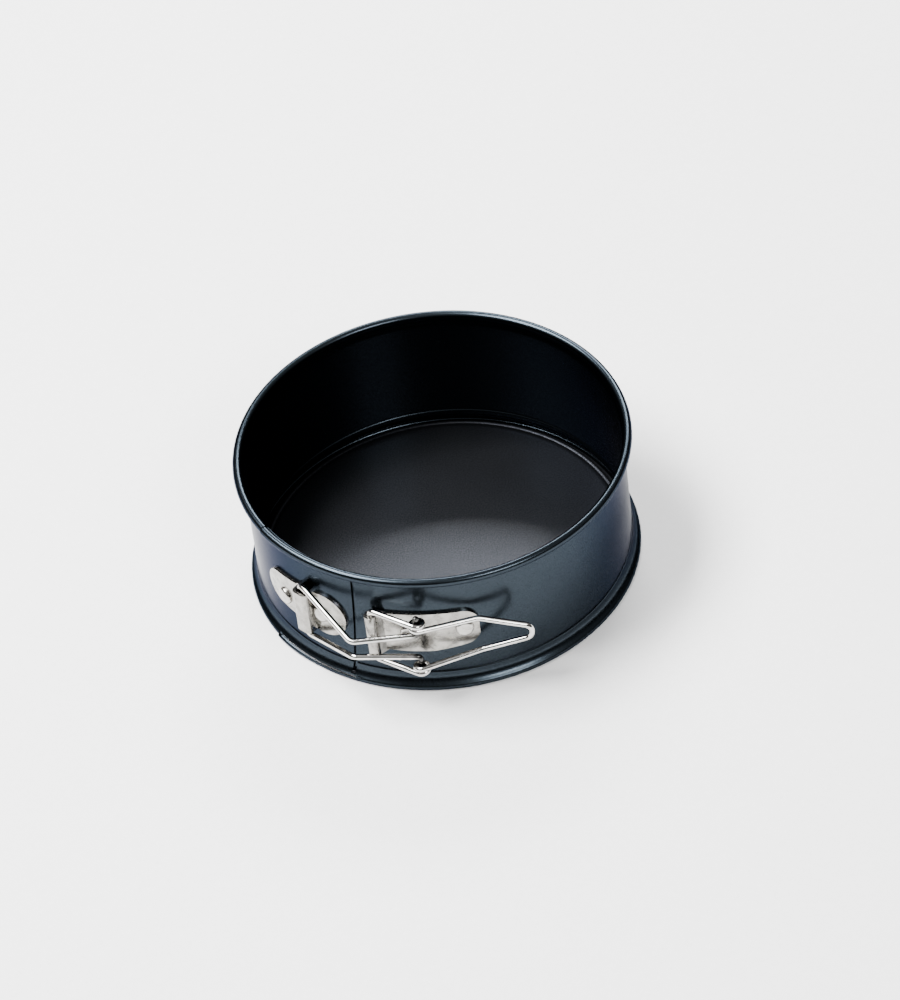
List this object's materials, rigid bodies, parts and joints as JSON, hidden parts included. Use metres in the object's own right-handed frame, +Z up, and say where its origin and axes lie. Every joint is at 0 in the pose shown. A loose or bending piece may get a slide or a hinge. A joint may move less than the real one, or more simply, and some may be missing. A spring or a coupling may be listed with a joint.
{
  "type": "springform pan",
  "caption": "Round non-stick springform cake pan with a rolled rim, a removable base disc and an over-centre wire latch.",
  "frame": {"origin": "middle of the base disc's top face, on the pan's axis", "axes": "+Z up along the pan's axis; -Y towards the latch; the closed handle points along +X"},
  "size_m": [0.126, 0.1313, 0.0478],
  "materials": {
    "coating": "dark blue-grey non-stick coating, semi-gloss",
    "disc_coating": "dark blue-grey non-stick coating, semi-gloss",
    "plate_steel": "satin pressed steel",
    "rivet_steel": "satin domed rivets",
    "wire_chrome": "bright nickel-plated wire"
  },
  "bodies": {
    "pan": {"band_latch_end": "coating", "base_disc": "disc_coating", "hinge_plate": "plate_steel", "rivet_hinge_left": "rivet_steel", "rivet_hinge_right": "rivet_steel"},
    "right_stretch": {"band_right": "coating"},
    "back_stretch": {"band_back": "coating"},
    "keeper_side": {"band_keeper_end": "coating", "keeper_plate": "plate_steel", "rivet_keeper_left": "rivet_steel", "rivet_keeper_right": "rivet_steel"},
    "lever": {"lever": "wire_chrome"},
    "link": {"link": "wire_chrome"}
  },
  "joints": [
    {"name": "lever_swing", "type": "hinge", "parent": "pan", "child": "lever", "pos_m": [-0.02603, -0.05737, 0.0215], "axis": [0, 0, -1], "range_deg": [0, 70]},
    {"name": "link_swing", "type": "hinge", "parent": "lever", "child": "link", "pos_m": [-0.0122, -0.0654, 0.0215], "axis": [0, 0, 1], "range_deg": [0, 44.3]},
    {"name": "band_flex_right", "type": "hinge", "parent": "pan", "child": "right_stretch", "pos_m": [0.02162, -0.05939, 0.0215], "axis": [0, 0, -1], "range_deg": [0, 1.7]},
    {"name": "band_flex_back", "type": "hinge", "parent": "right_stretch", "child": "back_stretch", "pos_m": [0.03625, 0.05177, 0.0215], "axis": [0, 0, -1], "range_deg": [0, 1.95]},
    {"name": "band_flex_left", "type": "hinge", "parent": "back_stretch", "child": "keeper_side", "pos_m": [-0.0632, 0, 0.0215], "axis": [0, 0, -1], "range_deg": [0, 1.7]}
  ],
  "couplings": [
    {"joint": "link_swing", "follows": "lever_swing", "ratio": 0.6303},
    {"joint": "band_flex_right", "follows": "lever_swing", "ratio": 0.0228},
    {"joint": "band_flex_back", "follows": "lever_swing", "ratio": 0.0262},
    {"joint": "band_flex_left", "follows": "lever_swing", "ratio": 0.0228}
  ]
}
